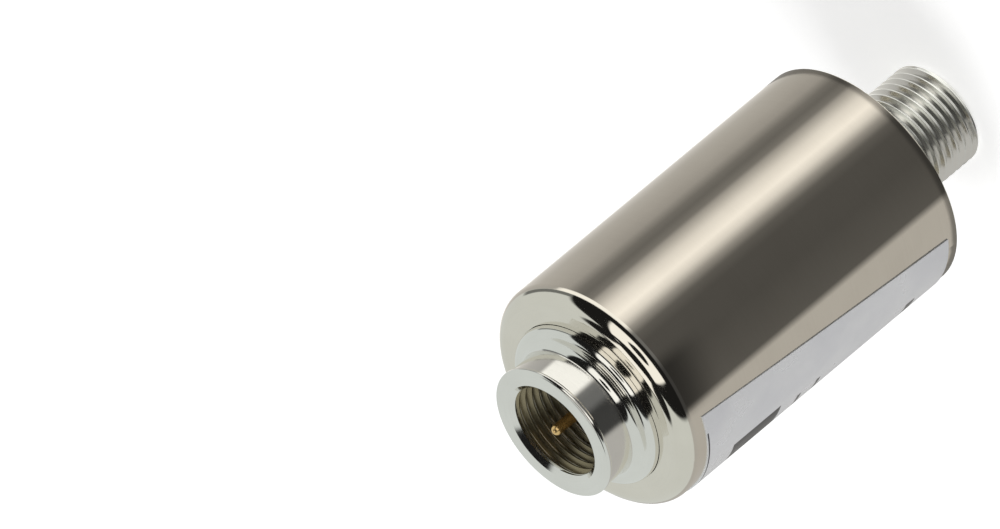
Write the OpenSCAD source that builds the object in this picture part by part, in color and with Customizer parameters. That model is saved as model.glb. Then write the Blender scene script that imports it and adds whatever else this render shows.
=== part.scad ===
// In-line coax lightning arrestor: threaded jack below, round screw-on plug collar above.
// Millimetres, +Z up, the axis is Z and the tip of the jack stands on Z = 0.

/* [Shell] */
// Outside diameter of the shell
shell_d = 21.4; // [19.2:0.1:26]
// Length of the shell from its open rim to the flat shoulder
shell_l = 33.7; // [30.4:0.1:40]
// Wall thickness of the shell
shell_wall = 0.65; // [0.5:0.05:0.9]
// Radius of the rounded edge round the shoulder
shell_edge = 1.5; // [1:0.05:1.8]
// Rounding of the open rim
rim_round = 0.25; // [0.1:0.05:0.3]
// Depth of the plate behind the open rim
rim_recess = 1.1; // [0.6:0.1:2]

/* [Label] */
// Distance of the label from the open rim
label_rim_gap = 1.7; // [1.5:0.1:4]
// Distance of the label from the flat shoulder
label_shoulder_gap = 2.2; // [2:0.1:5]
// Angle of the shell that the label covers
label_span = 208; // [190:1:240]
// Thickness of the label
label_t = 0.1; // [0.05:0.01:0.2]
// Angle by which the label was put on askew
label_skew = 2; // [0:0.1:2.5]
// Angle by which the label's sides lean
label_lean = 5; // [0:0.1:6]
// Direction that the middle of the label faces
label_turn = -90; // [-180:1:180]

/* [Plug collar] */
// Height of the collar above the shoulder
collar_out = 4.6; // [4:0.1:6]
// Diameter of the lip at the mouth
lip_d = 12.5; // [12.4:0.1:13.4]
// Height of the lip
lip_h = 0.55; // [0.5:0.05:1]
// Rounding of the lip's edges
lip_round = 0.2; // [0.1:0.05:0.25]
// Diameter of the neck behind the lip
neck_d = 12.2; // [11.6:0.1:12.3]
// Radius of the fillet at the foot of the neck
neck_fillet = 0.8; // [0.5:0.05:0.9]
// Diameter of the flange that shows in the shoulder
flange_d = 15.4; // [15.2:0.1:16.4]
// Height of the flange above the shoulder
flange_h = 0.9; // [0.7:0.05:1.1]
// Rounding of the flange's edge
flange_round = 0.6; // [0.3:0.05:0.7]
// Minor diameter of the thread inside the collar
plug_minor_d = 8.73; // [8.5:0.01:8.9]
// Diameter of the countersink at the mouth
mouth_d = 9.5; // [9.2:0.1:10.4]
// Depth of the threaded bore below the mouth
plug_depth = 7.7; // [7:0.1:8.5]
// Thickness of the shoulder that holds the collar inside the shell
back_t = 2; // [1.5:0.1:2.5]
// Diameter of the boss behind that shoulder
boss_d = 12.8; // [12:0.1:14]
// Thickness of the web that keeps the bead from sliding out
web_t = 0.5; // [0.3:0.05:0.8]

/* [Plug pin and bead] */
// Diameter of the centre pin
pin_d = 1; // [0.8:0.05:1.2]
// Depth of the pin's tip below the mouth
pin_inset = 0.2; // [0:0.1:3]
// Diameter of the bead
bead_d = 10.4; // [10:0.1:11]
// Length of the bead behind the web
bead_l = 2.4; // [2:0.1:3]
// Diameter of the bead's nose in the web
bead_nose_d = 6.4; // [5:0.1:7.5]
// Diameter of the pin's shaft inside the bead
shaft_d = 2; // [1.8:0.1:2.4]
// Diameter of the pin's stop behind the bead
stop_d = 2.8; // [2.6:0.1:4]
// Thickness of the pin's stop
stop_t = 0.6; // [0.4:0.1:1]

/* [Jack] */
// Major diameter of the thread on the barrel
jack_thread_d = 9.525; // [9.3:0.005:9.6]
// Length of the thread
jack_thread_l = 8; // [6:0.1:9]
// Distance from the tip to the open rim of the shell
jack_reach = 9.7; // [9.4:0.1:12]
// Diameter of the smooth shank behind the thread
shank_d = 9.9; // [9.7:0.05:10.4]
// Chamfer of the tip
tip_chamfer = 0.4; // [0.2:0.05:0.5]
// Diameter of the bore round the contact
jack_bore_d = 6; // [5:0.1:6.4]
// Diameter of the insulator in the tip
tip_ins_d = 7.2; // [6.8:0.1:7.6]
// Length of the insulator in the tip
tip_ins_l = 2.4; // [2:0.1:3]
// Depth of the insulator's face behind the tip
tip_ins_inset = 0.15; // [0:0.05:0.4]
// Diameter of the entry for a centre conductor
entry_d = 1.5; // [1.2:0.05:1.7]
// Diameter of the flare at that entry
entry_flare_d = 2.6; // [2:0.1:3.2]
// Diameter of the insulator at the back of the jack
rear_ins_d = 7.2; // [6.8:0.1:8]
// Thickness of the barrel's rear flange
jack_flange_t = 1.6; // [1.2:0.1:2]

/* [Ring nut and sleeve] */
// Wall thickness of the sleeve
sleeve_wall = 1.25; // [0.9:0.05:1.5]
// Width of the sleeve's face round the ring nut
nut_rim = 1.6; // [1.4:0.05:1.8]
// Thickness of the ring nut
nut_t = 2; // [1.5:0.1:2.5]
// Diameter of the two spanner holes
spanner_hole_d = 2.3; // [1.8:0.1:2.6]
// Direction of the first spanner hole
nut_turn = -34; // [-180:1:180]
// Width of the fine line between ring nut and sleeve
line_chamfer = 0.12; // [0.05:0.01:0.2]
// Chamfer of the sleeve's outer edge, a dark gap inside the rim
gap_chamfer = 0.35; // [0.2:0.05:0.5]
// Gap round the barrel's rear flange inside the sleeve
flange_play = 0.65; // [0.3:0.05:0.8]
// Width of the seat that the rear flange rests on
seat_w = 0.6; // [0.4:0.05:0.8]
// Thickness of that seat
seat_t = 1.5; // [1:0.1:2]

/* [Contact] */
// Outside diameter of the spring socket
socket_d = 2.4; // [2:0.1:3]
// Length of the spring socket
socket_l = 6; // [5:0.1:6.4]
// Bore of the spring socket
socket_bore_d = 1.1; // [0.9:0.05:1.3]
// Width of the slots in the socket
slot_w = 0.4; // [0.3:0.05:0.5]
// Length of the slots
slot_l = 4.5; // [3:0.1:4.8]
// Diameter of the tails on the board
tail_d = 1; // [0.8:0.05:1.2]
// Length of the contact's tail behind the jack
contact_tail_l = 7; // [5:0.1:7.5]
// Length of the pin's tail behind its stop
pin_tail_l = 5.2; // [4.5:0.1:5.6]
// Play between the spring socket and the insulator in the tip
socket_gap = 0.4; // [0.2:0.1:0.6]

/* [Board] */
// Distance of the board's ends from the insulators
board_end = 1.6; // [1.5:0.1:2]
// Gap beside the board where it passes the seat
board_play = 0.4; // [0.2:0.05:0.6]
// Thickness of the board
board_t = 1; // [0.8:0.1:1.6]
// Thickness of the copper
copper_t = 0.07; // [0.05:0.01:0.1]
// Width of the line track
line_w = 1.6; // [1.4:0.1:2]
// Width of the earth field
earth_w = 2.6; // [2.4:0.1:2.8]
// Distance of the tracks from the ends and edges of the board
track_inset = 0.5; // [0.3:0.1:0.8]

/* [Gas tube] */
// Diameter of the electrode caps
cap_d = 5; // [4.5:0.1:5.4]
// Thickness of an electrode cap
cap_t = 1.2; // [0.8:0.1:1.4]
// Length of the ceramic ring
ceramic_l = 3.8; // [3.4:0.1:4.2]
// Diameter of the ceramic ring
ceramic_d = 4.7; // [4.2:0.1:5]
// Bore of the ceramic ring
ceramic_bore_d = 3.2; // [2.8:0.1:3.6]
// Diameter of the electrodes inside
nose_d = 2.2; // [1.8:0.1:2.6]
// Spark gap between the electrodes
spark_gap = 1; // [0.6:0.1:1.4]

/* [Earth spring and solder] */
// Width of the earth spring
spring_w = 3; // [2:0.1:3.4]
// Thickness of the earth spring
spring_t = 0.2; // [0.15:0.05:0.3]
// Length of the spring's foot on the board
foot_l = 1.8; // [1.4:0.1:1.9]
// Angle of the wall that the spring lies against
spring_arc = 50; // [30:1:70]
// Length of a soldered tail
solder_l = 2.4; // [1.5:0.1:3]
// Width of the solder at a cap, foot to foot
solder_w = 4.4; // [4:0.1:4.8]
// Distance of the solder from the middle of a cap
solder_heel = 0.7; // [0.5:0.1:0.8]
// Distance of the solder from the line where a tail touches its track
tail_heel = 0.25; // [0.2:0.01:0.3]

/* [Fits] */
// Gap round the collar's flange in the shoulder
joint_gap = 0.05; // [0.02:0.01:0.1]

/* [Hidden] */
$fn = 96;
cut = 0.5;
far = 60;
quarter_turn = 90;
full_turn = 360;

shell_r = shell_d / 2;
sleeve_r = shell_r - shell_wall;
sleeve_bore_r = sleeve_r - sleeve_wall;
nut_r = sleeve_r - nut_rim;
jack_flange_r = nut_r - flange_play;
seat_r = jack_flange_r - seat_w;
spanner_circle_r = (shank_d / 2 + nut_r) / 2;
rim_z = jack_reach;
shoulder_z = rim_z + shell_l;
top_z = shoulder_z + collar_out;
plate_z = rim_z + rim_recess;
inner_edge = shell_edge - shell_wall;
label_l = shell_l - label_rim_gap - label_shoulder_gap;
label_mid_z = rim_z + label_rim_gap + label_l / 2;
back_top_z = shoulder_z - shell_wall;
back_z = back_top_z - back_t;
flange_r = flange_d / 2;
flange_top_z = shoulder_z + flange_h;
neck_r = neck_d / 2;
lip_r = lip_d / 2;
plug_floor_z = top_z - plug_depth;
bead_top_z = plug_floor_z - web_t;
bead_z = bead_top_z - bead_l;
mouth_chamfer = (mouth_d - plug_minor_d) / 2;

nut_back_z = plate_z + nut_t;
seat_z = nut_back_z + jack_flange_t;
tip_ins_z = tip_ins_inset + tip_ins_l;
entry_flare = (entry_flare_d - entry_d) / 2;
socket_z = tip_ins_z + socket_gap;
rear_ins_z = socket_z + socket_l;

tail_r = tail_d / 2;
track_y = -tail_r;
board_y = track_y - copper_t;
board_w = 2 * (seat_r - board_play);
board_z = seat_z + board_end;
board_l = bead_z - board_end - board_z;
contact_tail_z = seat_z + contact_tail_l;
pin_dome_z = top_z - pin_inset - pin_d / 2;
pin_stop_z = bead_z - stop_t;
pin_tail_z = pin_stop_z - pin_tail_l;
tube_z = (contact_tail_z + pin_tail_z) / 2;
tube_y = track_y + cap_d / 2;
line_cap_x = -cap_t / 2;
ceramic_x = line_cap_x + cap_t;
earth_cap_x = ceramic_x + ceramic_l;
nose_l = (ceramic_l - spark_gap) / 2;
earth_x = board_w / 2 - track_inset - earth_w;
spring_z = board_z + board_l - track_inset - spring_w;
foot_x = board_w / 2 - track_inset - foot_l;
foot_mid_y = track_y + spring_t / 2;
foot_angle = asin(-foot_mid_y / sleeve_bore_r);
contact_solder_z = contact_tail_z - solder_l;

nickel = [0.55, 0.52, 0.47];
tin = [0.78, 0.78, 0.76];
brass = [0.78, 0.62, 0.32];
foil = [0.82, 0.82, 0.85];
plastic = [0.90, 0.89, 0.93];
board_green = [0.16, 0.38, 0.22];
copper = [0.80, 0.50, 0.32];
ceramic = [0.93, 0.91, 0.86];
solder = [0.70, 0.71, 0.73];

// A disc or rod round the axis from one height to another.
module rod(z0, z1, d) {
    translate([0, 0, z0])
        cylinder(h = z1 - z0, d = d);
}

// A cone frustum round the axis from one height and diameter to another.
module taper(z0, d0, z1, d1) {
    translate([0, 0, z0])
        cylinder(h = z1 - z0, d1 = d0, d2 = d1);
}

// Profile from the axis to a radius, with one rounded corner at the top outside.
module rounded_top(r, z0, z1, round_r) {
    translate([0, z0])
        square([r - round_r, z1 - z0]);
    translate([0, z0])
        square([r, z1 - z0 - round_r]);
    translate([r - round_r, z1 - round_r])
        circle(r = round_r);
}

// Profile of a thin wall end with a rounded outer corner at the bottom.
module rim_profile() {
    translate([0, rim_z + rim_round])
        square([shell_r, shell_l - shell_edge - rim_round]);
    translate([0, rim_z])
        square([shell_r - rim_round, shell_l - shell_edge]);
    translate([shell_r - rim_round, rim_z + rim_round])
        circle(r = rim_round);
}

module shell() {
    color(nickel)
        difference() {
            rotate_extrude()
                intersection() {
                    union() {
                        rim_profile();
                        rounded_top(shell_r, rim_z + shell_edge, shoulder_z, shell_edge);
                    }
                    translate([0, rim_z])
                        square([shell_r, shell_l]);
                }
            rotate_extrude()
                intersection() {
                    rounded_top(sleeve_r, rim_z - cut, back_top_z, inner_edge);
                    translate([0, rim_z - cut])
                        square([sleeve_r, shell_l + cut]);
                }
            rod(back_top_z - cut, shoulder_z + cut, flange_d + 2 * joint_gap);
        }
}

// Half space beyond one side edge of the label; side is 1 or -1.
module beyond_edge(side) {
    rotate([0, 0, label_turn + side * label_span / 2])
        translate([0, 0, label_mid_z])
            rotate([-label_lean, 0, 0])
                translate([-far, (side - 1) * far / 2, -far])
                    cube([2 * far, far, 2 * far]);
}

module label() {
    color(foil)
        difference() {
            intersection() {
                difference() {
                    rod(rim_z, shoulder_z, shell_d + 2 * label_t);
                    rod(rim_z - cut, shoulder_z + cut, shell_d);
                }
                rotate([0, 0, label_turn])
                    translate([0, 0, label_mid_z])
                        rotate([-label_skew, 0, 0])
                            cube([far, far, label_l], center = true);
            }
            intersection() {
                beyond_edge(1);
                beyond_edge(-1);
            }
        }
}

// Half section of the collar outside the shell, from the axis outwards.
module collar_profile() {
    rounded_top(flange_r, back_top_z, flange_top_z, flange_round);
    translate([0, back_top_z])
        square([neck_r, top_z - lip_round - back_top_z]);
    difference() {
        translate([0, flange_top_z - cut])
            square([neck_r + neck_fillet, neck_fillet + cut]);
        translate([neck_r + neck_fillet, flange_top_z + neck_fillet])
            circle(r = neck_fillet);
    }
    rounded_top(lip_r, top_z - lip_h + lip_round, top_z, lip_round);
    translate([0, top_z - lip_h])
        square([lip_r - lip_round, lip_h - lip_round]);
    translate([lip_r - lip_round, top_z - lip_h + lip_round])
        circle(r = lip_round);
}

module plug_collar() {
    color(tin)
        difference() {
            union() {
                rotate_extrude()
                    collar_profile();
                rod(back_z, back_top_z - inner_edge, 2 * sleeve_r);
                taper(back_top_z - inner_edge, 2 * sleeve_r, back_top_z, 2 * (sleeve_r - inner_edge));
                rod(bead_z, back_z, boss_d);
            }
            rod(plug_floor_z, top_z + cut, plug_minor_d);
            taper(top_z - mouth_chamfer, plug_minor_d, top_z, mouth_d);
            rod(bead_z - cut, bead_top_z, bead_d);
            rod(bead_top_z - cut, plug_floor_z + cut, bead_nose_d);
        }
}

module plug_insulator() {
    color(plastic)
        difference() {
            union() {
                rod(bead_z, bead_top_z, bead_d);
                rod(bead_z, plug_floor_z, bead_nose_d);
            }
            rod(bead_z - cut, plug_floor_z + cut, shaft_d);
        }
}

module plug_pin() {
    color(brass)
        union() {
            translate([0, 0, pin_dome_z])
                sphere(d = pin_d);
            rod(plug_floor_z, pin_dome_z, pin_d);
            rod(bead_z, plug_floor_z, shaft_d);
            rod(pin_stop_z, bead_z, stop_d);
            rod(pin_tail_z, pin_stop_z, tail_d);
        }
}

module inner_sleeve() {
    color(tin)
        difference() {
            union() {
                taper(plate_z, 2 * (sleeve_r - gap_chamfer), plate_z + gap_chamfer, 2 * sleeve_r);
                rod(plate_z + gap_chamfer, back_z, 2 * sleeve_r);
            }
            rod(plate_z - cut, seat_z, 2 * nut_r);
            taper(plate_z, 2 * (nut_r + line_chamfer), plate_z + line_chamfer, 2 * nut_r);
            rod(seat_z - cut, seat_z + seat_t + cut, 2 * seat_r);
            rod(seat_z + seat_t, back_z + cut, 2 * sleeve_bore_r);
        }
}

module ring_nut() {
    color(tin)
        difference() {
            union() {
                taper(plate_z, 2 * (nut_r - line_chamfer), plate_z + line_chamfer, 2 * nut_r);
                rod(plate_z + line_chamfer, nut_back_z, 2 * nut_r);
            }
            rod(plate_z - cut, nut_back_z + cut, shank_d);
            for (side = [0, 1])
                rotate([0, 0, nut_turn + side * full_turn / 2])
                    translate([spanner_circle_r, 0, 0])
                        rod(plate_z - cut, nut_back_z + cut, spanner_hole_d);
        }
}

module jack_barrel() {
    color(tin)
        difference() {
            union() {
                taper(0, jack_thread_d - 2 * tip_chamfer, tip_chamfer, jack_thread_d);
                rod(tip_chamfer, jack_thread_l, jack_thread_d);
                rod(jack_thread_l, nut_back_z, shank_d);
                rod(nut_back_z, seat_z, 2 * jack_flange_r);
            }
            rod(-cut, tip_ins_z, tip_ins_d);
            rod(tip_ins_z - cut, rear_ins_z + cut, jack_bore_d);
            rod(rear_ins_z, seat_z + cut, rear_ins_d);
        }
}

module tip_insulator() {
    color(plastic)
        difference() {
            rod(tip_ins_inset, tip_ins_z, tip_ins_d);
            rod(0, tip_ins_z + cut, entry_d);
            taper(tip_ins_inset, entry_flare_d, tip_ins_inset + entry_flare, entry_d);
        }
}

module rear_insulator() {
    color(plastic)
        difference() {
            rod(rear_ins_z, seat_z, rear_ins_d);
            rod(rear_ins_z - cut, seat_z + cut, tail_d);
        }
}

module jack_contact() {
    color(brass)
        difference() {
            union() {
                rod(socket_z, rear_ins_z, socket_d);
                rod(rear_ins_z, contact_tail_z, tail_d);
            }
            rod(socket_z - cut, socket_z + slot_l, socket_bore_d);
            for (turn = [0, quarter_turn])
                rotate([0, 0, turn])
                    translate([-socket_d, -slot_w / 2, socket_z - cut])
                        cube([2 * socket_d, slot_w, slot_l + cut]);
        }
}

module circuit_board() {
    color(board_green)
        translate([-board_w / 2, board_y - board_t, board_z])
            cube([board_w, board_t, board_l]);
}

module line_track() {
    color(copper)
        translate([-line_w / 2, board_y, board_z + track_inset])
            cube([line_w, copper_t, board_l - 2 * track_inset]);
}

module earth_track() {
    color(copper)
        translate([earth_x, board_y, board_z + track_inset])
            cube([earth_w, copper_t, board_l - 2 * track_inset]);
}

// A round bar of the gas tube along X from one place to another.
module tube_bar(x0, x1, d) {
    translate([x0, tube_y, tube_z])
        rotate([0, quarter_turn, 0])
            cylinder(h = x1 - x0, d = d);
}

module gas_tube_ceramic() {
    color(ceramic)
        difference() {
            tube_bar(ceramic_x, earth_cap_x, ceramic_d);
            tube_bar(ceramic_x - cut, earth_cap_x + cut, ceramic_bore_d);
        }
}

module gas_tube_line_cap() {
    color(tin)
        union() {
            tube_bar(line_cap_x, ceramic_x, cap_d);
            tube_bar(ceramic_x - cut, ceramic_x + nose_l, nose_d);
        }
}

module gas_tube_earth_cap() {
    color(tin)
        union() {
            tube_bar(earth_cap_x, earth_cap_x + cap_t, cap_d);
            tube_bar(earth_cap_x - nose_l, earth_cap_x + cut, nose_d);
        }
}

module earth_spring() {
    color(brass)
        translate([0, 0, spring_z])
            union() {
                rotate([0, 0, -foot_angle])
                    rotate_extrude(angle = spring_arc)
                        translate([sleeve_bore_r - spring_t, 0])
                            square([spring_t, spring_w]);
                intersection() {
                    translate([foot_x, track_y, 0])
                        cube([far, spring_t, spring_w]);
                    cylinder(h = spring_w, r = sleeve_bore_r);
                }
            }
}

// Solder that wraps the upper side of a tail on the line track.
module tail_solder(z0) {
    difference() {
        intersection() {
            rod(z0, z0 + solder_l, line_w);
            translate([-line_w, track_y, z0])
                cube([2 * line_w, line_w, solder_l]);
        }
        rod(z0 - cut, z0 + solder_l + cut, tail_d);
        translate([-tail_heel, track_y - cut, z0 - cut])
            cube([2 * tail_heel, tail_r + cut, solder_l + 2 * cut]);
    }
}

// Solder fillets under both sides of an electrode cap.
module cap_solder(x0) {
    difference() {
        translate([x0, track_y, tube_z])
            rotate([quarter_turn, 0, quarter_turn])
                linear_extrude(height = cap_t)
                    for (side = [-1, 1])
                        polygon([[0, side * solder_heel], [0, side * solder_w / 2],
                                 [solder_w / 2 - solder_heel, side * solder_heel]]);
        tube_bar(x0 - cut, x0 + cap_t + cut, cap_d);
    }
}

// Solder fillet at the inner end of the earth spring's foot.
module foot_solder() {
    translate([0, 0, spring_z])
        linear_extrude(height = spring_w)
            polygon([[foot_x - solder_heel, track_y], [foot_x, track_y], [foot_x, track_y + spring_t]]);
}

module solder_joints() {
    color(solder)
        union() {
            tail_solder(contact_solder_z);
            tail_solder(pin_tail_z);
            cap_solder(line_cap_x);
            cap_solder(earth_cap_x);
            foot_solder();
        }
}

shell();
label();
plug_collar();
plug_insulator();
plug_pin();
inner_sleeve();
ring_nut();
jack_barrel();
tip_insulator();
rear_insulator();
jack_contact();
circuit_board();
line_track();
earth_track();
gas_tube_ceramic();
gas_tube_line_cap();
gas_tube_earth_cap();
earth_spring();
solder_joints();
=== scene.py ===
# %% [markdown]
# # A coax lightning arrestor in plated brass
#
# The arrestor is a round plated shell with a threaded jack below and a screw-on collar above.
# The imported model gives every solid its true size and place, and this script adds what a lathe, a
# plating bath and a printer add: threads, finishes and the print on the label.
# Lengths are written in millimetres, as on a drawing, and are turned into metres at the last moment.
# Only the camera, the floor and the lamps are placed in metres.

# %% Load the frame
import math

import bmesh
import bpy
import numpy as np
from mathutils import Matrix, Vector


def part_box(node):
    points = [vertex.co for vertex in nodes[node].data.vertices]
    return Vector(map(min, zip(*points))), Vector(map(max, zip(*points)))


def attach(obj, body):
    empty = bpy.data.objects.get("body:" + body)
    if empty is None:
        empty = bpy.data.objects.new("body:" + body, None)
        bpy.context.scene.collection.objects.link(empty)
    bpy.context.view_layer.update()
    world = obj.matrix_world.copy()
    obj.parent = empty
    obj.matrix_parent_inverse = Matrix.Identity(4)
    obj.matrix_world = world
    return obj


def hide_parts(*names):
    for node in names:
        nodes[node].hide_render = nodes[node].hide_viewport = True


MM = 0.001
BODY = "root"

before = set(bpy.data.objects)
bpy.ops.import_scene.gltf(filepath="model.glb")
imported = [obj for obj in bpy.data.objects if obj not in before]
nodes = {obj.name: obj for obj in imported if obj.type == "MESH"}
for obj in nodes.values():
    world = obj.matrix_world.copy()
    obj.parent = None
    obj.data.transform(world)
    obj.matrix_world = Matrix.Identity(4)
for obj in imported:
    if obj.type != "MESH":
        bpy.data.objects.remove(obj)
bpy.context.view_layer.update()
scene = bpy.context.scene
scene.view_settings.view_transform = "Standard"

# %% [markdown]
# ## The camera
#
# The photograph looks down on the collar, with the axis lying across the picture.
# A long lens from about two metres away keeps the shell's sides nearly parallel, as they are there.
# The camera is placed from three facts: the direction of sight, the slant of the axis in the
# picture, and the pixel at which one point of the axis lies.

# %% Camera
PICTURE = np.array([1000.0, 529.0])
AXIS_POINT = Vector((0.0, 0.0, 22.85)) * MM
AXIS_PIXEL = np.array([755.3, 264.9])
SIGHT_AZIMUTH = math.radians(60.0)
SIGHT_HEIGHT = math.radians(30.25)
AXIS_SLANT = math.radians(140.35)
CAMERA_DISTANCE = 2.0
PIXELS_PER_METRE = 12141.0
SENSOR_MM = 36.0


def sight_direction(azimuth, height):
    """Unit vector to the eye: a point on the sphere at that azimuth from +X and height over the floor."""
    flat = math.cos(height)
    return Vector((flat * math.cos(azimuth), flat * math.sin(azimuth), math.sin(height)))


def slanted_basis(back, slant):
    """Right and up of a camera that looks against back, rolled until +Z runs along the slant, which is
    measured clockwise from the right."""
    level = Vector((0.0, 0.0, 1.0)).cross(back).normalized()
    upright = back.cross(level)
    roll = math.atan2(math.cos(slant), -math.sin(slant))
    right = level * math.cos(roll) + upright * math.sin(roll)
    return right, back.cross(right)


def make_camera():
    """A camera that sees the axis point at its pixel, without shift, from the photograph's direction."""
    to_eye = sight_direction(SIGHT_AZIMUTH, SIGHT_HEIGHT)
    right, up = slanted_basis(to_eye, AXIS_SLANT)
    offset = (AXIS_PIXEL - PICTURE / 2) / PIXELS_PER_METRE
    aim = AXIS_POINT - right * offset[0] + up * offset[1]
    place = AXIS_POINT + to_eye * CAMERA_DISTANCE
    back = (place - aim).normalized()
    right, up = slanted_basis(back, AXIS_SLANT)
    camera = bpy.data.objects.new("camera", bpy.data.cameras.new("camera"))
    camera.matrix_world = Matrix.Translation(place) @ Matrix((right, up, back)).transposed().to_4x4()
    camera.data.sensor_width = SENSOR_MM
    camera.data.lens = SENSOR_MM * PIXELS_PER_METRE * CAMERA_DISTANCE / PICTURE[0]
    scene.collection.objects.link(camera)
    return camera


scene.camera = make_camera()
print("lens in mm:", round(scene.camera.data.lens, 1))

# %% [markdown]
# ## Turned pieces
#
# A lathe makes a piece by moving a cutter along a profile while the work spins, so a turned piece is
# a profile carried round the axis: one parameter runs along the profile, the other is the angle.
# A thread is the same wall cut deeper along a helix. Its grid follows the helix, so that every crest
# is a clean line of edges, and the cut fades out at both ends, where the wall meets plain rings.

# %% Profiles, rings and threads
STEPS_ROUND = 160
ANGLES = np.linspace(0.0, 2.0 * np.pi, STEPS_ROUND + 1)
THREAD_PITCH = 25.4 / 32
THREAD_DEPTH = 0.487
THREAD_FORM = np.array([[0.0, 0.0], [0.11, 0.0], [0.17, 0.08], [0.41, 0.9],
                        [0.5, 1.0], [0.62, 1.0], [0.71, 0.9], [0.94, 0.08]])
MERGE_MM = 0.002
SHARP_ANGLE = math.radians(32.0)


def arc(centre_r, centre_z, radius, start, end, steps=8):
    """Points of a circle's arc in the half plane of radius and height, between two angles in degrees."""
    turn = np.radians(np.linspace(start, end, steps + 1))
    return np.column_stack((centre_r + radius * np.cos(turn), centre_z + radius * np.sin(turn)))


def swept(radius, height):
    """Points (radius cos a, radius sin a, height) of a grid whose columns are the angles a."""
    wall = np.broadcast_to(radius, np.broadcast_shapes(radius.shape, ANGLES.shape))
    rise = np.broadcast_to(height, wall.shape)
    return np.stack((wall * np.cos(ANGLES), wall * np.sin(ANGLES), rise), axis=-1)


def turned(profile):
    """A profile of (radius, height) rows carried round the axis."""
    points = np.asarray(profile, float)
    return swept(points[:, :1], points[:, 1:])


def threaded(z0, z1, wall_r, depth, fade_low, fade_high):
    """A wall cut along a right-hand helix: the height rises by one pitch a turn, the radius changes by
    depth times the thread form at that phase, and the cut fades to nothing at both ends."""
    turns = np.arange(-1, math.ceil((z1 - z0) / THREAD_PITCH) + 1)
    phase = (turns[:, None] + THREAD_FORM[:, 0]).reshape(-1, 1)
    cut = np.tile(THREAD_FORM[:, 1], len(turns)).reshape(-1, 1)
    height = np.clip(z0 + THREAD_PITCH * (phase + ANGLES / (2.0 * np.pi)), z0, z1)
    fade = np.clip(np.minimum((height - z0) / fade_low, (z1 - height) / fade_high), 0.0, 1.0)
    return swept(wall_r + depth * cut * fade, height)


def grid_faces(rows, columns, first):
    """Quads between neighbouring rows and columns of a grid whose vertices start at index first."""
    index = first + np.arange(rows * columns).reshape(rows, columns)
    corners = (index[:-1, :-1], index[:-1, 1:], index[1:, 1:], index[1:, :-1])
    return np.stack(corners, axis=-1).reshape(-1, 4)


def close_mesh(mesh):
    """Merges equal points, drops faces without area and turns the normals outwards."""
    work = bmesh.new()
    work.from_mesh(mesh)
    bmesh.ops.remove_doubles(work, verts=work.verts, dist=MERGE_MM * MM)
    bmesh.ops.dissolve_degenerate(work, edges=work.edges, dist=MERGE_MM * MM / 2)
    bmesh.ops.recalc_face_normals(work, faces=work.faces)
    work.to_mesh(mesh)
    work.free()


def piece_from_grids(name, *grids):
    """One closed piece from grids of points in millimetres, smooth except at sharp edges."""
    counts = np.cumsum([0] + [grid.shape[0] * grid.shape[1] for grid in grids])
    points = np.concatenate([grid.reshape(-1, 3) for grid in grids]) * MM
    quads = np.concatenate([grid_faces(*grid.shape[:2], first) for grid, first in zip(grids, counts)])
    mesh = bpy.data.meshes.new(name)
    mesh.from_pydata(points.tolist(), [], quads.tolist())
    close_mesh(mesh)
    mesh.shade_smooth()
    mesh.set_sharp_from_angle(angle=SHARP_ANGLE)
    piece = bpy.data.objects.new(name, mesh)
    scene.collection.objects.link(piece)
    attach(piece, BODY)
    return piece


print("thread pitch in mm:", round(THREAD_PITCH, 3), "steps round:", STEPS_ROUND)

# %% [markdown]
# ## The screw-on collar
#
# The collar is turned from one bar: a lip round a countersunk mouth, a neck, a fillet, a rounded
# flange, and the shoulder and boss that the shell hides. Its bore takes the thread of a jack.
# In the solid the bore is plain, at the tips of the thread. Here the helix is cut into it.

# %% Collar
def span_mm(name):
    """Lowest and highest height of a solid, and its largest radius, in millimetres."""
    low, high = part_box(name)
    return low.z / MM, high.z / MM, high.x / MM


BOSS_FOOT, TOP, SHOULDER_R = span_mm("plug_collar")
_, SHOULDER, SHELL_R = span_mm("shell")
SHELL_WALL, SHOULDER_DEPTH, SHOULDER_EDGE = 0.65, 2.0, 0.85
LIP_R, LIP_H, LIP_ROUND, LIP_CROWN = 6.25, 0.55, 0.2, 0.06
NECK_R, NECK_FILLET = 6.1, 0.8
FLANGE_R, FLANGE_H, FLANGE_ROUND = 7.7, 0.9, 0.6
PLUG_R, MOUTH_R, PLUG_DEPTH = 4.365, 4.75, 7.7
BOSS_R, BEAD_R, NOSE_R, WEB = 6.4, 5.2, 3.2, 0.5
BORE_FADES = (0.8, 0.12)
FILLET_STEPS = 12


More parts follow.
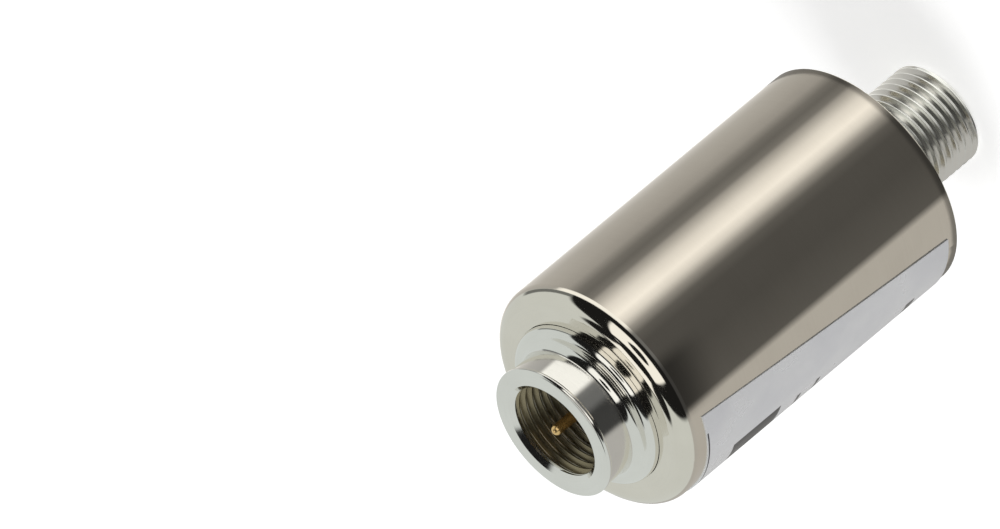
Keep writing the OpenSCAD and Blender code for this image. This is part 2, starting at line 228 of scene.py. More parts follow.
def collar_profile():
    """From the foot of the countersink over lip, neck, flange and shoulder to the floor of the bore."""
    lip_mid, lip_edge = LIP_R - LIP_ROUND, TOP - LIP_CROWN
    lip_under = -math.degrees(math.acos((NECK_R - lip_mid) / LIP_ROUND))
    flange_top, shoulder_top = SHOULDER + FLANGE_H, SHOULDER - SHELL_WALL
    shoulder_foot, floor = shoulder_top - SHOULDER_DEPTH, TOP - PLUG_DEPTH
    return np.vstack((
        [[PLUG_R, TOP - (MOUTH_R - PLUG_R)], [MOUTH_R, TOP], [(MOUTH_R + lip_mid) / 2, TOP - LIP_CROWN / 4]],
        arc(lip_mid, lip_edge - LIP_ROUND, LIP_ROUND, 80, 0),
        arc(lip_mid, TOP - LIP_H + LIP_ROUND, LIP_ROUND, 0, lip_under),
        arc(NECK_R + NECK_FILLET, flange_top + NECK_FILLET, NECK_FILLET, 180, 270, FILLET_STEPS),
        arc(FLANGE_R - FLANGE_ROUND, flange_top - FLANGE_ROUND, FLANGE_ROUND, 90, 0, FILLET_STEPS),
        [[FLANGE_R, shoulder_top], [SHOULDER_R - SHOULDER_EDGE, shoulder_top],
         [SHOULDER_R, shoulder_top - SHOULDER_EDGE], [SHOULDER_R, shoulder_foot],
         [BOSS_R, shoulder_foot], [BOSS_R, BOSS_FOOT], [BEAD_R, BOSS_FOOT], [BEAD_R, floor - WEB],
         [NOSE_R, floor - WEB], [NOSE_R, floor], [PLUG_R, floor]],
    ))


def make_collar():
    """The turned collar with the helix of its bore."""
    mouth_foot = TOP - (MOUTH_R - PLUG_R)
    bore = threaded(TOP - PLUG_DEPTH, mouth_foot, PLUG_R, THREAD_DEPTH, *BORE_FADES)
    collar = piece_from_grids("screw_collar", turned(collar_profile()), bore)
    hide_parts("plug_collar")
    return collar


collar = make_collar()
print("collar faces:", len(collar.data.polygons))

# %% [markdown]
# ## The jack's barrel
#
# The barrel carries the standard thread of a coax jack, 32 turns to the inch on three eighths of an
# inch. Behind it comes a smooth shank, and then a flange that the ring nut clamps inside the shell.
# The helix is cut inwards from the full diameter, so that the piece stays in the solid's outline.

# %% Barrel
JACK_R, JACK_THREAD_END, TIP_CHAMFER = 4.7625, 8.0, 0.4
SHANK_R, SHANK_CHAMFER = 4.95, 0.1
REAR_FLANGE = 1.6
INSULATOR_R, TIP_SEAT, REAR_SEAT, JACK_BORE_R = 3.6, 2.55, 8.95, 3.0
JACK_TIP, REAR_FLANGE_END, REAR_FLANGE_R = span_mm("jack_barrel")
JACK_FADES = (0.25, 0.5)


def barrel_profile():
    """From the end of the thread along shank, flange and bore to the start of the thread at the tip."""
    shank_end = REAR_FLANGE_END - REAR_FLANGE
    return [[JACK_R, JACK_THREAD_END], [SHANK_R - SHANK_CHAMFER, JACK_THREAD_END],
            [SHANK_R, JACK_THREAD_END + SHANK_CHAMFER], [SHANK_R, shank_end],
            [REAR_FLANGE_R, shank_end], [REAR_FLANGE_R, REAR_FLANGE_END],
            [INSULATOR_R, REAR_FLANGE_END], [INSULATOR_R, REAR_SEAT], [JACK_BORE_R, REAR_SEAT],
            [JACK_BORE_R, TIP_SEAT], [INSULATOR_R, TIP_SEAT], [INSULATOR_R, JACK_TIP],
            [JACK_R - TIP_CHAMFER, JACK_TIP], [JACK_R, TIP_CHAMFER]]


def make_barrel():
    """The turned barrel with the helix of its thread."""
    thread = threaded(TIP_CHAMFER, JACK_THREAD_END, JACK_R, -THREAD_DEPTH, *JACK_FADES)
    barrel = piece_from_grids("threaded_barrel", turned(barrel_profile()), thread)
    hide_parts("jack_barrel")
    return barrel


barrel = make_barrel()
print("barrel faces:", len(barrel.data.polygons))

# %% [markdown]
# ## Patterns from arithmetic
#
# Every finish is worked out from the place of the shaded point on its piece, by small steps of
# arithmetic: how far round the axis it lies, how far out and how high. A mask is such a value that is
# 1 where a mark is and 0 elsewhere. Two masks multiplied keep what both cover, and the larger of the
# two keeps what either covers.

# %% Node helpers
def wire(tree, kind, *values, **settings):
    """Adds a node, sets its properties, and fills its inputs in order with sockets or plain values."""
    node = tree.nodes.new(kind)
    for name, value in settings.items():
        setattr(node, name, value)
    for socket, value in zip(node.inputs, values):
        if isinstance(value, bpy.types.NodeSocket):
            tree.links.new(value, socket)
        elif value is not None:
            socket.default_value = value
    return node


def math_node(tree, operation, *values):
    """The result of one arithmetic step."""
    return wire(tree, "ShaderNodeMath", *values, operation=operation).outputs[0]


def times(tree, first, second):
    """Product of two values."""
    return math_node(tree, "MULTIPLY", first, second)


def either(tree, first, second):
    """The larger of two values."""
    return math_node(tree, "MAXIMUM", first, second)


def round_axis(tree, zero_azimuth=0.0):
    """Angle from an azimuth, radius and height of the shaded point round the Z axis, lengths in
    millimetres."""
    place = wire(tree, "ShaderNodeTexCoord").outputs["Object"]
    level = wire(tree, "ShaderNodeVectorRotate", place, None, (0.0, 0.0, 1.0), -zero_azimuth).outputs[0]
    x, y, z = wire(tree, "ShaderNodeSeparateXYZ", level).outputs
    flat = wire(tree, "ShaderNodeCombineXYZ", x, y, 0.0).outputs[0]
    radius = wire(tree, "ShaderNodeVectorMath", flat, operation="LENGTH").outputs["Value"]
    angle = math_node(tree, "ARCTAN2", y, x)
    return angle, math_node(tree, "DIVIDE", radius, MM), math_node(tree, "DIVIDE", z, MM)


def smooth_step(tree, value, low, high):
    """0 below low, 1 above high and a smooth ramp between."""
    node = wire(tree, "ShaderNodeMapRange", value, low, high, 0.0, 1.0, interpolation_type="SMOOTHSTEP")
    return node.outputs[0]


def band(tree, value, low, high, soft):
    """1 between low and high, with soft borders."""
    falling = times(tree, value, -1.0)
    return times(tree, smooth_step(tree, value, low - soft, low + soft),
                 smooth_step(tree, falling, -high - soft, -high + soft))


print("helpers:", [helper.__name__ for helper in (wire, times, either, round_axis, smooth_step, band)])

# %% [markdown]
# ## Shared effects
#
# Several finishes share the same marks. A turned part has fine rings left by the cutter, which run
# round the axis on a wall and become circles on a face, so their pattern reads radius and height.
# Plating has slow clouds of colour and small specks. Each effect is a node group, built once, that
# puts out values which change over the surface. The shaders stay in the materials.

# %% Turned grain and plating clouds
# Scale, detail and roughness of the noise behind the rings
COARSE_RINGS, FINE_RINGS = (1.0, 2.0, 0.6), (4.0, 1.0, 0.5)
# Detail and roughness of the noise behind clouds and specks, and the values it is cut between
CLOUD_NOISE, CLOUD_CUT = (3.0, 0.55), (0.3, 0.7)
SPECK_NOISE, SPECK_CUT = (2.0, 0.6), (0.66, 0.74)


def new_group(name, inputs, outputs):
    """An empty node group with named float inputs, given with their start values, and float outputs."""
    tree = bpy.data.node_groups.new(name, "ShaderNodeTree")
    for label, start in inputs.items():
        socket = tree.interface.new_socket(label, in_out="INPUT", socket_type="NodeSocketFloat")
        socket.default_value = start
    for label in outputs:
        tree.interface.new_socket(label, in_out="OUTPUT", socket_type="NodeSocketFloat")
    return tree, tree.nodes.new("NodeGroupInput"), tree.nodes.new("NodeGroupOutput")


def make_turned_grain():
    """Rings of noise that is stretched round the axis: fine in radius and height, long in angle."""
    tree, given, result = new_group("Turned grain", {"Rings per mm": 6.0, "Streak": 2.0},
                                    ["Rings", "Fine rings"])
    angle, radius, height = round_axis(tree)
    streak = given.outputs["Streak"]
    across = times(tree, math_node(tree, "ADD", radius, height), given.outputs["Rings per mm"])
    around = wire(tree, "ShaderNodeCombineXYZ",
                  times(tree, math_node(tree, "COSINE", angle), streak),
                  times(tree, math_node(tree, "SINE", angle), streak), across).outputs[0]
    coarse = wire(tree, "ShaderNodeTexNoise", around, None, *COARSE_RINGS)
    fine = wire(tree, "ShaderNodeTexNoise", around, None, *FINE_RINGS)
    tree.links.new(coarse.outputs[0], result.inputs["Rings"])
    tree.links.new(fine.outputs[0], result.inputs["Fine rings"])
    return tree


def make_plating_clouds():
    """Slow clouds, and specks where a fine noise passes a high mark."""
    tree, given, result = new_group("Plating clouds", {"Clouds per mm": 0.15, "Specks per mm": 3.0},
                                    ["Clouds", "Specks"])
    place = wire(tree, "ShaderNodeTexCoord").outputs["Object"]
    clouds_scale = math_node(tree, "DIVIDE", given.outputs["Clouds per mm"], MM)
    specks_scale = math_node(tree, "DIVIDE", given.outputs["Specks per mm"], MM)
    clouds = wire(tree, "ShaderNodeTexNoise", place, None, clouds_scale, *CLOUD_NOISE).outputs[0]
    grain = wire(tree, "ShaderNodeTexNoise", place, None, specks_scale, *SPECK_NOISE).outputs[0]
    tree.links.new(smooth_step(tree, clouds, *CLOUD_CUT), result.inputs["Clouds"])
    tree.links.new(smooth_step(tree, grain, *SPECK_CUT), result.inputs["Specks"])
    return tree


TURNED_GRAIN = make_turned_grain()
PLATING_CLOUDS = make_plating_clouds()
print("node groups:", len(bpy.data.node_groups))

# %% [markdown]
# ## Plated metals
#
# Every metal here is the same recipe with its own values: two shades of the plating mixed by the
# rings and the clouds, a roughness that the rings and specks disturb, and a bump from the rings.
# The shell's nickel is warm, the tin on collar and jack is bright, and the pin is bare brass.

# %% Metal recipe
RING_SHARE = 0.5
DULL_RANGE = (0.3, 0.9)


def new_material(name):
    """A material with a node tree, and its Principled shader."""
    material = bpy.data.materials.new(name)
    material.use_nodes = True
    return material, material.node_tree, material.node_tree.nodes["Principled BSDF"]


def group_node(tree, group, **inputs):
    """Places a node group in a material and sets its inputs by name, with spaces for underscores."""
    node = tree.nodes.new("ShaderNodeGroup")
    node.node_tree = group
    for name, value in inputs.items():
        node.inputs[name.replace("_", " ")].default_value = value
    return node.outputs


def mixed_colour(tree, factor, first, second):
    """Colour that goes from first to second with the factor."""
    node = tree.nodes.new("ShaderNodeMix")
    node.data_type = "RGBA"
    tree.links.new(factor, node.inputs["Factor"])
    for socket, colour in ((node.inputs[6], first), (node.inputs[7], second)):
        if isinstance(colour, bpy.types.NodeSocket):
            tree.links.new(colour, socket)
        else:
            socket.default_value = (*colour, 1.0)
    return node.outputs[2]


def add_bump(tree, shader, height, strength, distance_mm):
    """Feeds the shader a normal bent by a height."""
    bump = tree.nodes.new("ShaderNodeBump")
    bump.inputs["Strength"].default_value = strength
    bump.inputs["Distance"].default_value = distance_mm * MM
    tree.links.new(height, bump.inputs["Height"])
    tree.links.new(bump.outputs[0], shader.inputs["Normal"])


def make_metal(name, light, dark, rough_low, rough_high, rings=6.0, bump=0.15, bump_mm=0.004):
    """Plated or bare metal with turned rings, clouds of colour and dull specks."""
    material, tree, shader = new_material(name)
    grain = group_node(tree, TURNED_GRAIN, Rings_per_mm=rings)
    plating = group_node(tree, PLATING_CLOUDS)
    clouded = times(tree, plating["Clouds"], 1.0 - RING_SHARE)
    shade = math_node(tree, "MULTIPLY_ADD", grain["Rings"], RING_SHARE, clouded)
    tree.links.new(mixed_colour(tree, shade, light, dark), shader.inputs["Base Color"])
    dull = either(tree, grain["Fine rings"], plating["Specks"])
    rough = wire(tree, "ShaderNodeMapRange", dull, *DULL_RANGE, rough_low, rough_high).outputs[0]
    tree.links.new(rough, shader.inputs["Roughness"])
    shader.inputs["Metallic"].default_value = 1.0
    add_bump(tree, shader, grain["Fine rings"], bump, bump_mm)
    return material


NICKEL = make_metal("satin_nickel", (0.84, 0.79, 0.70), (0.77, 0.72, 0.635), 0.04, 0.12, rings=5.0, bump=0.05)
TIN_BRIGHT = make_metal("bright_tin", (0.92, 0.92, 0.89), (0.85, 0.85, 0.81), 0.12, 0.26, bump=0.08)
TIN_SATIN = make_metal("satin_tin", (0.82, 0.82, 0.78), (0.72, 0.72, 0.68), 0.24, 0.40)
BRASS = make_metal("polished_brass", (0.88, 0.62, 0.28), (0.80, 0.50, 0.20), 0.22, 0.36)
COPPER = make_metal("copper_foil", (0.86, 0.52, 0.36), (0.76, 0.42, 0.28), 0.25, 0.40)
SOLDER = make_metal("soft_solder", (0.74, 0.75, 0.77), (0.62, 0.63, 0.66), 0.22, 0.42, rings=1.5)
COLLAR_TIN = make_metal("collar_tin", (0.87, 0.85, 0.80), (0.79, 0.77, 0.72), 0.06, 0.18, bump=0.08)
# The dark colour inside the bore is partly bare brass and partly painted shade of the deep bore.
BARE_THREAD_AND_SHADE, BARE_ROUGHNESS = (0.33, 0.28, 0.18), 0.2
# Low border, high border and softness of the bare zone with its painted shade, in radius and in height
BARE_AND_SHADE_RADII = (-1.0, PLUG_R + THREAD_DEPTH, 0.05)
BARE_AND_SHADE_HEIGHTS = (TOP - PLUG_DEPTH, TOP - 0.6, 0.2)


def bare_and_shade_the_thread(material):
    """Plating hardly reaches a narrow bore, so the thread inside the mouth keeps the dull brass of the bar,
    and its colour is darkened further as painted shade of the deep bore."""
    tree = material.node_tree
    shader = tree.nodes["Principled BSDF"]
    plated = shader.inputs["Base Color"].links[0].from_socket
    polish = shader.inputs["Roughness"].links[0].from_socket
    _, radius, height = round_axis(tree)
    # inside: the mask of the bare thread, whose dark colour is also painted shade
    inside = times(tree, band(tree, radius, *BARE_AND_SHADE_RADII), band(tree, height, *BARE_AND_SHADE_HEIGHTS))
    dulled = math_node(tree, "MULTIPLY_ADD", inside, BARE_ROUGHNESS, polish)
    tree.links.new(mixed_colour(tree, inside, plated, BARE_THREAD_AND_SHADE), shader.inputs["Base Color"])
    tree.links.new(dulled, shader.inputs["Roughness"])


bare_and_shade_the_thread(COLLAR_TIN)
metals = (NICKEL, TIN_BRIGHT, TIN_SATIN, BRASS, COPPER, SOLDER, COLLAR_TIN)
print("metals:", [metal.name for metal in metals])

# %% [markdown]
# ## Plastics, laminate and ceramic
#
# The insulators are moulded plastic, nearly white, with a faint mottle. The board is green laminate
# with a finer mottle, and the gas tube's ring is glazed ceramic. All of them share one recipe.

# %% Moulded recipe
MOTTLE_SPECKS, MOTTLE_MM = 5.0, 0.003


def make_moulded(name, light, dark, rough_low, rough_high, clouds=0.4, bump=0.05):
    """A non-metal with clouds between two shades, and a mottle in its gloss."""
    material, tree, shader = new_material(name)
    mottle = group_node(tree, PLATING_CLOUDS, Clouds_per_mm=clouds, Specks_per_mm=MOTTLE_SPECKS)
    tree.links.new(mixed_colour(tree, mottle["Clouds"], light, dark), shader.inputs["Base Color"])
    rough = wire(tree, "ShaderNodeMapRange", mottle["Clouds"], 0.0, 1.0, rough_low, rough_high).outputs[0]
    tree.links.new(rough, shader.inputs["Roughness"])
    add_bump(tree, shader, mottle["Specks"], bump, MOTTLE_MM)
    return material


TIP_PLASTIC = make_moulded("bush_moulding", (0.78, 0.76, 0.82), (0.72, 0.70, 0.77), 0.32, 0.45)
BEAD_PLASTIC = make_moulded("bead_moulding", (0.86, 0.85, 0.83), (0.80, 0.79, 0.77), 0.40, 0.55)
LAMINATE = make_moulded("green_laminate", (0.05, 0.20, 0.08), (0.04, 0.15, 0.06), 0.30, 0.45, clouds=2.0)
CERAMIC = make_moulded("glazed_ceramic", (0.88, 0.86, 0.80), (0.82, 0.80, 0.74), 0.15, 0.30)
print("non-metals:", [material.name for material in (TIP_PLASTIC, BEAD_PLASTIC, LAMINATE, CERAMIC)])

# %% [markdown]
# ## The label
#
# A silver foil is wrapped round more than half of the shell, a little askew. Its print is plain: a
# dark band, rules and a lightning bolt, and a fine dark line along its upper end is painted shadow
# at the foil's edge. The pattern is laid out on the unrolled foil, so the material works out two
# lengths from the object's coordinates: across is the angle from the label's middle times the radius,
# and along is the height, turned by the angle of the skew.

# %% Label foil
LABEL_AZIMUTH = math.radians(-90.0)
LABEL_SKEW = math.radians(2.0)
LABEL_FOOT, LABEL_HEAD, LABEL_R = span_mm("label")
LABEL_MID = (LABEL_FOOT + LABEL_HEAD) / 2
FOIL_METALLIC = 0.35
INK_AND_EDGE_SHADE = (0.018, 0.018, 0.02)
PRINT_EDGE = 0.04
# Foot, head and half width of each dark bar: the printed ones, and last among the rules a painted shadow
DARK_BAND = (5.6, 11.4, 14.7)
# The last of the rules is no print but a painted shadow along the foil's upper edge.
RULES_AND_EDGE_SHADE = ((2.8, 3.3, 13.8), (0.4, 0.9, 13.8), (-11.4, -10.3, 13.6), (14.68, 14.84, 19.0))
# Corners of the bolt's two convex halves, across and along
BOLT_HEAD = ((0.6, -1.4), (-1.7, -5.3), (0.2, -5.3), (2.0, -1.4))
BOLT_TAIL = ((-1.4, -9.2), (1.8, -4.4), (-0.3, -4.4))


def unrolled(tree):
    """Across and along on the unrolled label, in millimetres from its middle."""
    angle, radius, height = round_axis(tree, LABEL_AZIMUTH)
    aside = times(tree, math_node(tree, "SINE", angle), radius)
    risen = math_node(tree, "SUBTRACT", height, LABEL_MID)
    along = math_node(tree, "ADD", times(tree, risen, math.cos(LABEL_SKEW)),
                      times(tree, aside, math.sin(LABEL_SKEW)))
    return times(tree, angle, LABEL_R), along


def dark_bar(tree, across, along, low, high, half_width):
    """A bar between two lengths along the label, as wide as given to both sides of its middle."""
    return times(tree, band(tree, along, low, high, PRINT_EDGE),
                 band(tree, across, -half_width, half_width, PRINT_EDGE))


def printed_shape(tree, across, along, corners):
    """A convex shape: the least distance inside its sides, each side a straight line through two corners."""
    points = np.array(corners)
    middle = points.mean(axis=0)
    least = None
    for start, end in zip(points, np.roll(points, -1, axis=0)):
        normal = np.array([start[1] - end[1], end[0] - start[0]]) / np.linalg.norm(end - start)
        normal *= np.sign(normal @ (middle - start))
        inside = math_node(tree, "MULTIPLY_ADD", across, normal[0],
                           math_node(tree, "MULTIPLY_ADD", along, normal[1], -float(normal @ start)))
        least = inside if least is None else math_node(tree, "MINIMUM", least, inside)
    return smooth_step(tree, least, -PRINT_EDGE, PRINT_EDGE)


def make_label_foil():
    """Satin silver foil with dark print, and a painted shadow line along its upper edge."""
    material = make_moulded("printed_foil", (0.84, 0.85, 0.87), (0.78, 0.79, 0.82), 0.26, 0.36, clouds=0.2)
    tree = material.node_tree
    shader = tree.nodes["Principled BSDF"]
    foil = shader.inputs["Base Color"].links[0].from_socket
    across, along = unrolled(tree)
    print_and_edge_shade = dark_bar(tree, across, along, *DARK_BAND)
    marks = [dark_bar(tree, across, along, *rule) for rule in RULES_AND_EDGE_SHADE]
    marks += [printed_shape(tree, across, along, corners) for corners in (BOLT_HEAD, BOLT_TAIL)]
    for mark in marks:
        print_and_edge_shade = either(tree, print_and_edge_shade, mark)
    # The print and the painted shadow at the foil's edge share one dark colour.
    tree.links.new(mixed_colour(tree, print_and_edge_shade, foil, INK_AND_EDGE_SHADE), shader.inputs["Base Color"])
    bare = math_node(tree, "SUBTRACT", 1.0, print_and_edge_shade)
    tree.links.new(times(tree, bare, FOIL_METALLIC), shader.inputs["Metallic"])
    return material


LABEL_FOIL = make_label_foil()
print("label from", round(LABEL_FOOT, 2), "to", round(LABEL_HEAD, 2), "mm")

# %% [markdown]
# ## Who wears what
#
# Seventeen solids are shown as they are packed and only get a finish. The collar and the barrel,
# which were turned above with their threads, get theirs too.

# %% Give every piece its finish
FINISHES = {
    "shell": NICKEL, "label": LABEL_FOIL, "plug_insulator": BEAD_PLASTIC, "plug_pin": BRASS,
    "inner_sleeve": TIN_SATIN, "ring_nut": TIN_SATIN, "tip_insulator": TIP_PLASTIC,
    "rear_insulator": BEAD_PLASTIC, "jack_contact": BRASS, "circuit_board": LAMINATE,
    "line_track": COPPER, "earth_track": COPPER, "gas_tube_ceramic": CERAMIC,
    "gas_tube_line_cap": TIN_SATIN, "gas_tube_earth_cap": TIN_SATIN, "earth_spring": BRASS,
    "solder_joints": SOLDER,
}


def dress(piece, material):
    """Puts one material on a piece."""
    piece.data.materials.clear()
    piece.data.materials.append(material)


TURNED_FINISHES = ((collar, COLLAR_TIN), (barrel, TIN_BRIGHT))
for name, material in FINISHES.items():
    dress(nodes[name], material)
for piece, material in TURNED_FINISHES:
    dress(piece, material)
print("solids dressed:", len(FINISHES), "turned pieces dressed:", len(TURNED_FINISHES))

# %% [markdown]
# ## A tent of cards
#
# Polished metal shows what stands round it, so a tent of pale and dark cards stands close by, as in
# a product studio, and only reflections see it.
# Each card is placed by the spot on the shell where its reflection is seen: a ray from the eye that
# meets the shell at an angle from the line of sight leaves it at twice that angle. A ring of cards on
# the floor does the same for the jack's thread, and the cards over the shoulder show in the collar.

# %% Tent of cards
TENT_FOOT_R, TENT_FOOT, TENT_R, TENT_TOP = 5.2, 0.05, 20.0, 95.0
# Spots in degrees from the eye's azimuth, each with the light level of the card seen there
LOW_CARDS = ((-90, 0.50), (-34, 0.50), (-30.5, 0.11), (-10, 0.085), (5, 0.09), (10, 0.13), (14, 0.36),
             (18, 0.85), (22, 1.12), (28, 0.88), (32, 0.58), (35, 0.38), (36.5, 0.22), (41, 0.16),
             (45, 0.20), (51, 0.38), (58, 0.44), (70, 0.50), (82, 0.68), (90, 1.1))
RING_CARDS = ((-90, 0.50), (-45, 0.50), (-35, 0.45), (-28, 0.05), (-20, 0.08), (-12, 0.35), (-5, 0.75),
              (5, 0.78), (15, 1.15), (25, 1.2), (33, 0.80), (45, 0.85), (60, 0.75), (75, 1.15), (90, 1.1))
BACK_LEVEL = 0.7
CARD_TINT, RING_TINT = (1.0, 0.975, 0.93), (1.0, 1.0, 0.96)
WHITE_CARD, BLACK_CARD = (1.1, 1.1, 1.06), (0.012, 0.012, 0.012)
FAR_CARD, PALE_TOP = (0.67, 0.71, 0.70), (0.42, 0.44, 0.45)
# Borders between which a mask rises from 0 to 1, and the share of the mask that is used
RING_EDGE = (0.2, 0.4)
RING_HEM, HEM_SHARE = (13.8, 14.8), 0.8
FOOT_RISE, FOOT_SHARE = (0.4, 0.8), 0.6
CORNER_RISE, CORNER_SHARE = (31.0, 36.5), 0.75
PALE_RISE, PALE_SHARE = (36.5, 38.5), 0.22
STREAK_RISE = (SHOULDER - 6.4, SHOULDER - 5.6)
UPPER_RISE = (SHOULDER - 3.2, SHOULDER - 2.2)
LID_RISE = (SHOULDER + 30.0, SHOULDER + 36.0)
BEND_RISE = (TENT_TOP - 13.0, TENT_TOP - 11.0)
FAR_SIDE = (math.radians(70.0), math.radians(80.0))
# Low border, high border and softness of a band
STREAK_BAND = (math.radians(20.0), math.radians(80.0), 0.08)
FRONT_BAND = (math.radians(-50.0), math.radians(66.0), 0.05)
LINE_BAND = (math.radians(60.0), math.radians(110.0), 0.05)
LINE_HEIGHTS, LINE_SHARE = (SHOULDER - 2.6, SHOULDER + 0.6, 0.5), 0.75
FAN_BAND = (math.radians(-21.0), math.radians(31.0), 0.03)
BEND_BAND = (-10.0, 10.0, 1.0)
CORNER_SPOTS, CORNER_SOFT = (-33.0, -6.0), 0.12
# The foot line's head: how much higher it is towards the eye, and its mean height
FOOT_LINE, FOOT_SOFT = (1.65, 3.25), 0.2
CARD_FOOT, CARD_FOOT_SOFT, CARD_SPREAD = SHOULDER + 1.8, 0.5, 70.0
# Centre and half axes of the white card's holes
LENS, PEEP_HOLE = ((1.0, 84.0), (17.5, 17.0)), ((1.4, 51.8), (3.8, 3.7))
OVAL_EDGE = (0.8, 1.2)


def met_angle(spot, wall_r, reach):
    """Angle from the eye's azimuth of the end of a ray that leaves a round wall at spot degrees from it."""
    turn = math.radians(spot)
    across = wall_r * math.sin(turn) + reach * math.sin(2 * turn)
    return math.atan2(across, wall_r * math.cos(turn) + reach * math.cos(2 * turn))


def wall_angle(spot):
    """Angle at which the tent's wall is met by a ray from that spot of the shell."""
    along = SHELL_R * math.cos(math.radians(spot))
    return met_angle(spot, SHELL_R, math.sqrt(along**2 + TENT_R**2 - SHELL_R**2) - along)


def ring_angle(spot):
    """Angle at which the ring on the floor is met by a ray from that spot, halfway along the jack's
    thread."""
    return met_angle(spot, JACK_R, JACK_THREAD_END / 2 / math.tan(SIGHT_HEIGHT))


def card_ramp(tree, angle, cards, place, tint):
    """Colours of a row of cards, given by spot and level: a ramp over the angle round the axis."""
    ramp = wire(tree, "ShaderNodeValToRGB", math_node(tree, "MULTIPLY_ADD", angle, 0.5 / math.pi, 0.5))
    stops = ramp.color_ramp.elements
    for spot, _ in cards:
        stops.new(0.5 + place(spot) / (2 * math.pi))
    levels = [BACK_LEVEL, *(level for _, level in cards), BACK_LEVEL]
    for stop, level in zip(stops, levels):
        stop.color = (*(level * part for part in tint), 1.0)
    return ramp.outputs[0]


def foot_line(tree, angle, height):
    """A dark strip along the foot of the wall, which shows as a line along the shell's rim. The strip is
    higher towards the eye, where a ray from the rim has a shorter way to the wall."""
    head = math_node(tree, "MULTIPLY_ADD", math_node(tree, "COSINE", angle), *FOOT_LINE)
    strip = smooth_step(tree, math_node(tree, "SUBTRACT", head, height), -FOOT_SOFT, FOOT_SOFT)
    wall = smooth_step(tree, height, *FOOT_RISE)
    return times(tree, times(tree, strip, wall), FOOT_SHARE)


def dark_corner(tree, angle, height):
    """A shade at the upper end of the darkest card, which deepens with the height."""
    sides = band(tree, angle, *(wall_angle(spot) for spot in CORNER_SPOTS), CORNER_SOFT)
    return times(tree, sides, times(tree, smooth_step(tree, height, *CORNER_RISE), CORNER_SHARE))


def ring_cards(tree, angle, radius):
    """On the floor: the cards that the jack's thread shows, with a dark hem for the shell's rim."""
    hem = times(tree, smooth_step(tree, radius, *RING_HEM), HEM_SHARE)
    return mixed_colour(tree, hem, card_ramp(tree, angle, RING_CARDS, ring_angle, RING_TINT), BLACK_CARD)


def lower_cards(tree, angle, radius, height):
    """Round the shell: uprights that are paler at their heads, their dark ends, a white streak under the
    shoulder, and the ring on the floor."""
    paler = times(tree, smooth_step(tree, height, *PALE_RISE), PALE_SHARE)
    colour = mixed_colour(tree, paler, card_ramp(tree, angle, LOW_CARDS, wall_angle, CARD_TINT), PALE_TOP)
    shade = either(tree, foot_line(tree, angle, height), dark_corner(tree, angle, height))
    colour = mixed_colour(tree, shade, colour, BLACK_CARD)
    streak = times(tree, band(tree, angle, *STREAK_BAND), smooth_step(tree, height, *STREAK_RISE))
    colour = mixed_colour(tree, streak, colour, WHITE_CARD)
    return mixed_colour(tree, smooth_step(tree, height, *RING_EDGE), ring_cards(tree, angle, radius), colour)


def beyond_oval(tree, aside, height, centre, half):
    """0 inside an oval and 1 outside it: the sum of the squares of the distances over the half axes."""
    wide = math_node(tree, "DIVIDE", math_node(tree, "SUBTRACT", aside, centre[0]), half[0])
    tall = math_node(tree, "DIVIDE", math_node(tree, "SUBTRACT", height, centre[1]), half[1])
    away = math_node(tree, "MULTIPLY_ADD", wide, wide, times(tree, tall, tall))
    return smooth_step(tree, away, *OVAL_EDGE)


def white_card(tree, angle, aside, height):
    """A white card that starts over the shoulder, widens upwards and bends over the top of the tent, with
    an oval hole for the lens and a small one below it."""
    spread = math_node(tree, "MULTIPLY_ADD", height, 1.0 / CARD_SPREAD, 1.0 - CARD_FOOT / CARD_SPREAD)
    fan = band(tree, math_node(tree, "DIVIDE", angle, spread), *FAN_BAND)
    rise = smooth_step(tree, height, CARD_FOOT - CARD_FOOT_SOFT, CARD_FOOT + CARD_FOOT_SOFT)
    over = times(tree, band(tree, aside, *BEND_BAND), smooth_step(tree, height, *BEND_RISE))
    holes = math_node(tree, "MINIMUM", beyond_oval(tree, aside, height, *LENS),
                      beyond_oval(tree, aside, height, *PEEP_HOLE))
    far_side = smooth_step(tree, math_node(tree, "ABSOLUTE", angle), *FAR_SIDE)
    return times(tree, either(tree, times(tree, fan, rise), over), either(tree, holes, far_side))


def upper_cards(tree, angle, aside, height):
    """Over the shoulder: a pale far wall, black cards and a black lid in front of it, and the white card."""
    front = band(tree, angle, *FRONT_BAND)
    line = times(tree, band(tree, angle, *LINE_BAND),
                 times(tree, band(tree, height, *LINE_HEIGHTS), LINE_SHARE))
    black = either(tree, either(tree, front, line), smooth_step(tree, height, *LID_RISE))
    colour = mixed_colour(tree, black, FAR_CARD, BLACK_CARD)
    return mixed_colour(tree, white_card(tree, angle, aside, height), colour, WHITE_CARD)


def bare_material(name):
    """A material whose tree holds nothing but its output."""
    material = bpy.data.materials.new(name)
    material.use_nodes = True
    tree = material.node_tree
    tree.nodes.clear()
    return material, tree, tree.nodes.new("ShaderNodeOutputMaterial")


def make_tent_material():
    """The light of the lower and upper cards."""
    material, tree, end = bare_material("card_tent")
    angle, radius, height = round_axis(tree, SIGHT_AZIMUTH)
    aside = times(tree, radius, math_node(tree, "SINE", angle))
    lower = lower_cards(tree, angle, radius, height)
    upper = upper_cards(tree, angle, aside, height)
    colour = mixed_colour(tree, smooth_step(tree, height, *UPPER_RISE), lower, upper)
    glow = wire(tree, "ShaderNodeEmission", colour, 1.0)
    tree.links.new(glow.outputs[0], end.inputs[0])
    return material


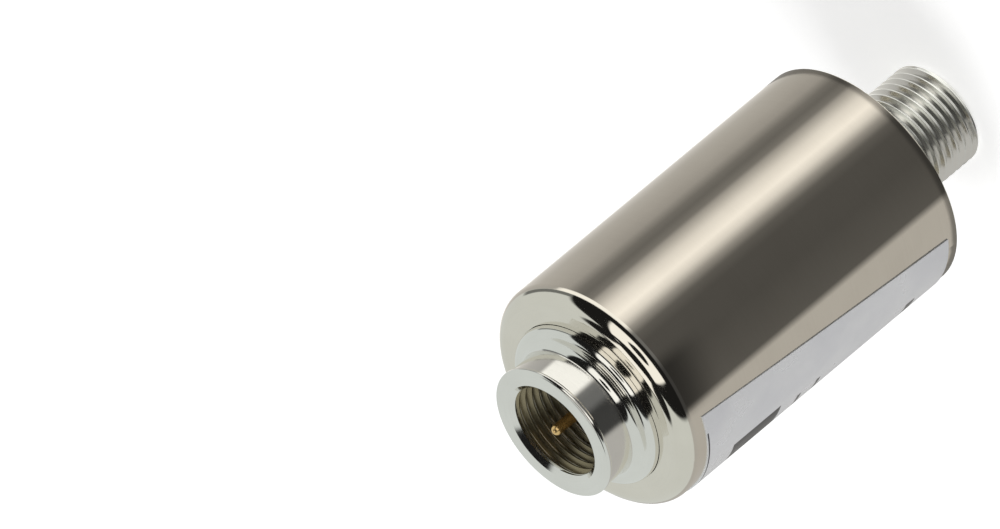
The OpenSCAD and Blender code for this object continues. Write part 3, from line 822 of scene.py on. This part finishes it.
def make_tent():
    """A ring on the floor, a round wall and a lid, which only reflections see."""
    wall = turned([[TENT_FOOT_R, TENT_FOOT], [TENT_R, TENT_FOOT], [TENT_R, TENT_TOP], [0.0, TENT_TOP]])
    mesh = bpy.data.meshes.new("card_tent")
    mesh.from_pydata((wall.reshape(-1, 3) * MM).tolist(), [], grid_faces(*wall.shape[:2], 0).tolist())
    tent = bpy.data.objects.new("card_tent", mesh)
    scene.collection.objects.link(tent)
    tent.visible_camera = False
    tent.visible_diffuse = False
    tent.visible_shadow = False
    tent.visible_transmission = False
    dress(tent, make_tent_material())


make_tent()
print("cards on the wall:", len(LOW_CARDS), "on the floor:", len(RING_CARDS))

# %% [markdown]
# ## Floor and light
#
# The arrestor stands on its jack on a white floor. The floor is pale and keeps soft shadows, and it
# glows for rays from the eye and from gloss alone, so that the glow lights no matt surface.
# The sky is white to the same rays. Two soft lamps and the sky's own light do the rest.

# %% Floor and lamps
FLOOR_HALF, FLOOR_GAP_MM = 3.0, 0.02
FLOOR_COLOUR, WHITE = (0.86, 0.86, 0.86, 1.0), (1.0, 1.0, 1.0, 1.0)
FLOOR_GLOW = 0.48
SKY_LIGHT = 0.35
# Place, size and power
LAMPS = {"key_lamp": ((0.35, -0.25, 0.6), 0.5, 2.5), "fill_lamp": ((-0.5, 0.4, 0.4), 0.6, 1.2)}


def seen_rays(tree):
    """1 for rays that come from the eye, from gloss or through glass, and 0 for those that carry light."""
    path = tree.nodes.new("ShaderNodeLightPath").outputs
    clear = either(tree, path["Is Glossy Ray"], path["Is Transmission Ray"])
    return either(tree, path["Is Camera Ray"], clear)


def make_floor_material():
    """A white floor that keeps soft shadows: a pale diffuse part, and a glow for the eye and for gloss."""
    material, tree, end = bare_material("white_floor")
    matt = wire(tree, "ShaderNodeBsdfDiffuse", FLOOR_COLOUR)
    glow = wire(tree, "ShaderNodeEmission", WHITE, times(tree, seen_rays(tree), FLOOR_GLOW))
    both = wire(tree, "ShaderNodeAddShader", matt.outputs[0], glow.outputs[0])
    tree.links.new(both.outputs[0], end.inputs[0])
    return material


def make_floor():
    """A large level sheet just under the tip of the jack."""
    corners = np.array([[-1, -1, 0], [1, -1, 0], [1, 1, 0], [-1, 1, 0]]) * FLOOR_HALF
    corners[:, 2] = -FLOOR_GAP_MM * MM
    mesh = bpy.data.meshes.new("floor")
    mesh.from_pydata(corners.tolist(), [], [[0, 1, 2, 3]])
    floor = bpy.data.objects.new("floor", mesh)
    scene.collection.objects.link(floor)
    dress(floor, make_floor_material())


def make_lamp(name, place, size, power):
    """A square soft lamp that looks at the axis point and that no gloss shows."""
    lamp = bpy.data.objects.new(name, bpy.data.lights.new(name, "AREA"))
    lamp.data.size = size
    lamp.data.energy = power
    lamp.location = place
    lamp.rotation_euler = (Vector(place) - AXIS_POINT).to_track_quat("Z", "Y").to_euler()
    lamp.visible_glossy = False
    scene.collection.objects.link(lamp)


def make_world():
    """An even pale sky, white to the eye and to gloss."""
    world = bpy.data.worlds.new("studio")
    world.use_nodes = True
    scene.world = world
    tree = world.node_tree
    strength = wire(tree, "ShaderNodeMapRange", seen_rays(tree), 0.0, 1.0, SKY_LIGHT, 1.0).outputs[0]
    tree.nodes["Background"].inputs["Color"].default_value = WHITE
    tree.links.new(strength, tree.nodes["Background"].inputs["Strength"])


make_floor()
make_world()
for name, (place, size, power) in LAMPS.items():
    make_lamp(name, place, size, power)
print("lamps:", len(bpy.data.lights))
